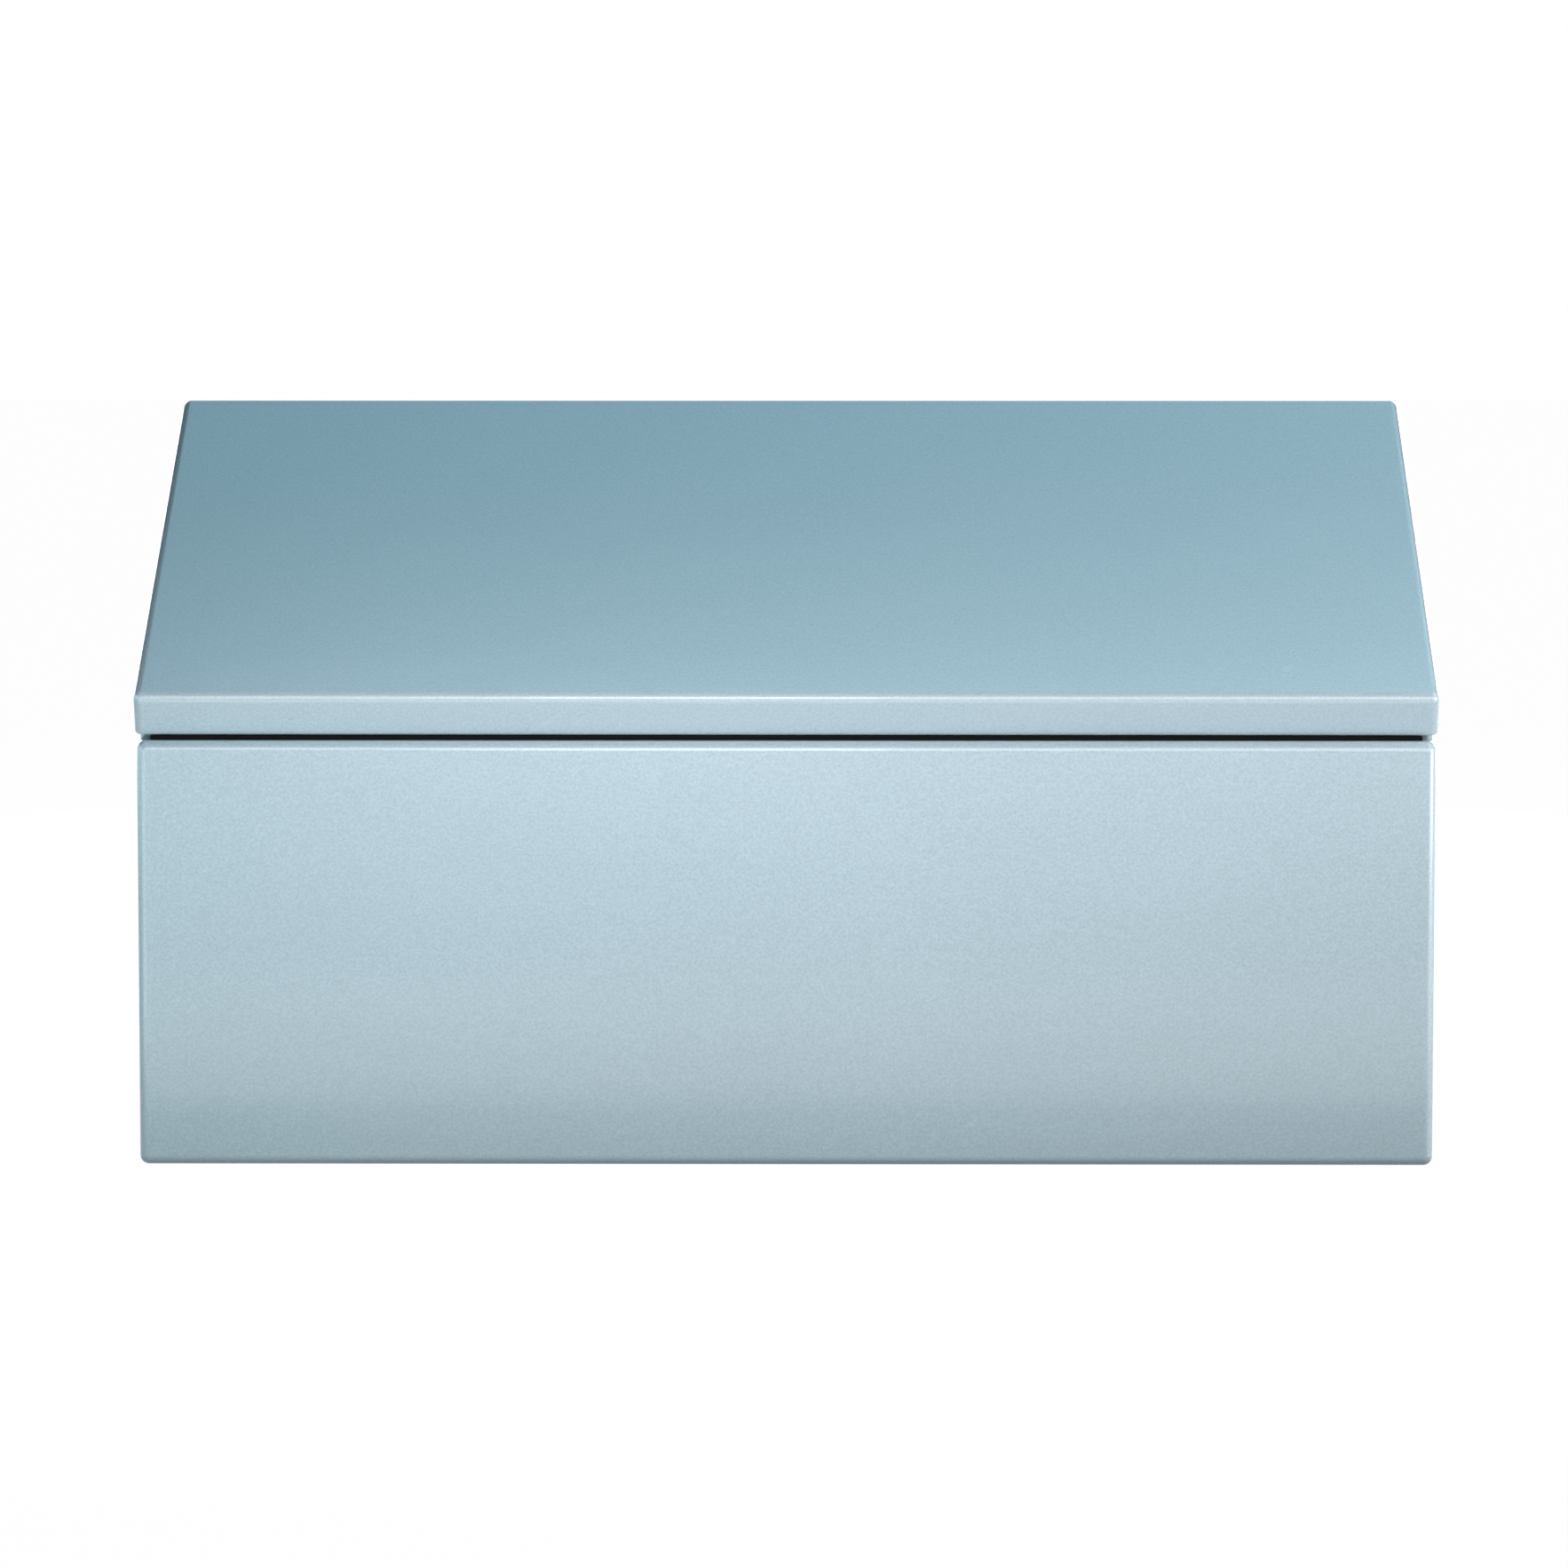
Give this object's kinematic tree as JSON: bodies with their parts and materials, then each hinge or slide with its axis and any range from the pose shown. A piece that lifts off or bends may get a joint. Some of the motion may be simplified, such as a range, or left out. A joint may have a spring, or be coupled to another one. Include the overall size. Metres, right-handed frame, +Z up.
{
  "type": "book drop box",
  "caption": "Sheet steel book return box with a full-width sloping lid hinged at the back, folding lid stays, a padded floor and wall-mounting holes.",
  "frame": {"origin": "bottom centre of the whole object's box, on the plane that the case stands on", "axes": "+X to the object's right seen from its front, +Y from the front to the wall side, +Z up"},
  "size_m": [0.6, 0.2604, 0.3429],
  "materials": {
    "case_paint": "satin powder coat",
    "lid_paint": "satin powder coat",
    "hinge_steel": "zinc plated",
    "stay_zinc": "bright zinc plated",
    "pivot_steel": "polished",
    "rivet_aluminium": "satin",
    "washer_nylon": "natural nylon",
    "seal_rubber": "matt",
    "seal_foam": "closed-cell foam",
    "pad_felt": "needled felt over foam"
  },
  "bodies": {
    "case": {"case_wrap": "case_paint", "back_panel": "case_paint", "bottom_panel": "case_paint", "back_rivets": "rivet_aluminium", "bottom_rivets": "rivet_aluminium", "hinge_rivets": "rivet_aluminium", "stay_bracket_rivets": "rivet_aluminium", "book_pad": "pad_felt", "front_seal": "seal_rubber", "side_seal_left": "seal_foam", "side_seal_right": "seal_foam", "hinge_case_leaf": "hinge_steel", "hinge_pin": "hinge_steel", "stay_case_bracket_left": "stay_zinc", "stay_case_pivot_left": "pivot_steel", "stay_case_washer_left": "washer_nylon", "stay_case_bracket_right": "stay_zinc", "stay_case_pivot_right": "pivot_steel", "stay_case_washer_right": "washer_nylon"},
    "lid": {"lid_shell": "lid_paint", "lid_stiffener": "lid_paint", "hinge_lid_leaf": "hinge_steel", "stay_lid_bracket_left": "stay_zinc", "stay_lid_pivot_left": "pivot_steel", "stay_lid_washer_left": "washer_nylon", "stay_lid_bracket_right": "stay_zinc", "stay_lid_pivot_right": "pivot_steel", "stay_lid_washer_right": "washer_nylon"},
    "stay_lower_left": {"stay_lower_arm_left": "stay_zinc", "stay_knuckle_pivot_left": "pivot_steel", "stay_knuckle_washer_left": "washer_nylon"},
    "stay_upper_left": {"stay_upper_arm_left": "stay_zinc"},
    "stay_lower_right": {"stay_lower_arm_right": "stay_zinc", "stay_knuckle_pivot_right": "pivot_steel", "stay_knuckle_washer_right": "washer_nylon"},
    "stay_upper_right": {"stay_upper_arm_right": "stay_zinc"}
  },
  "joints": [
    {"name": "lid_hinge", "type": "hinge", "parent": "case", "child": "lid", "pos_m": [0, 0.1246, 0.33753], "axis": [-1, 0, 0], "range_deg": [0, 100]},
    {"name": "stay_lower_pivot_left", "type": "hinge", "parent": "case", "child": "stay_lower_left", "pos_m": [0, 0.1126, 0.25153], "axis": [-1, 0, 0], "range_deg": [0, 100]},
    {"name": "stay_upper_pivot_left", "type": "hinge", "parent": "lid", "child": "stay_upper_left", "pos_m": [0, 0.05541, 0.29232], "axis": [-1, 0, 0], "range_deg": [-100, 0]},
    {"name": "stay_lower_pivot_right", "type": "hinge", "parent": "case", "child": "stay_lower_right", "pos_m": [0, 0.1126, 0.25153], "axis": [-1, 0, 0], "range_deg": [0, 100]},
    {"name": "stay_upper_pivot_right", "type": "hinge", "parent": "lid", "child": "stay_upper_right", "pos_m": [0, 0.05541, 0.29232], "axis": [-1, 0, 0], "range_deg": [-100, 0]}
  ],
  "couplings": [
    {"joint": "stay_lower_pivot_left", "follows": "lid_hinge", "ratio": 1},
    {"joint": "stay_upper_pivot_left", "follows": "lid_hinge", "ratio": -1},
    {"joint": "stay_lower_pivot_right", "follows": "lid_hinge", "ratio": 1},
    {"joint": "stay_upper_pivot_right", "follows": "lid_hinge", "ratio": -1}
  ]
}
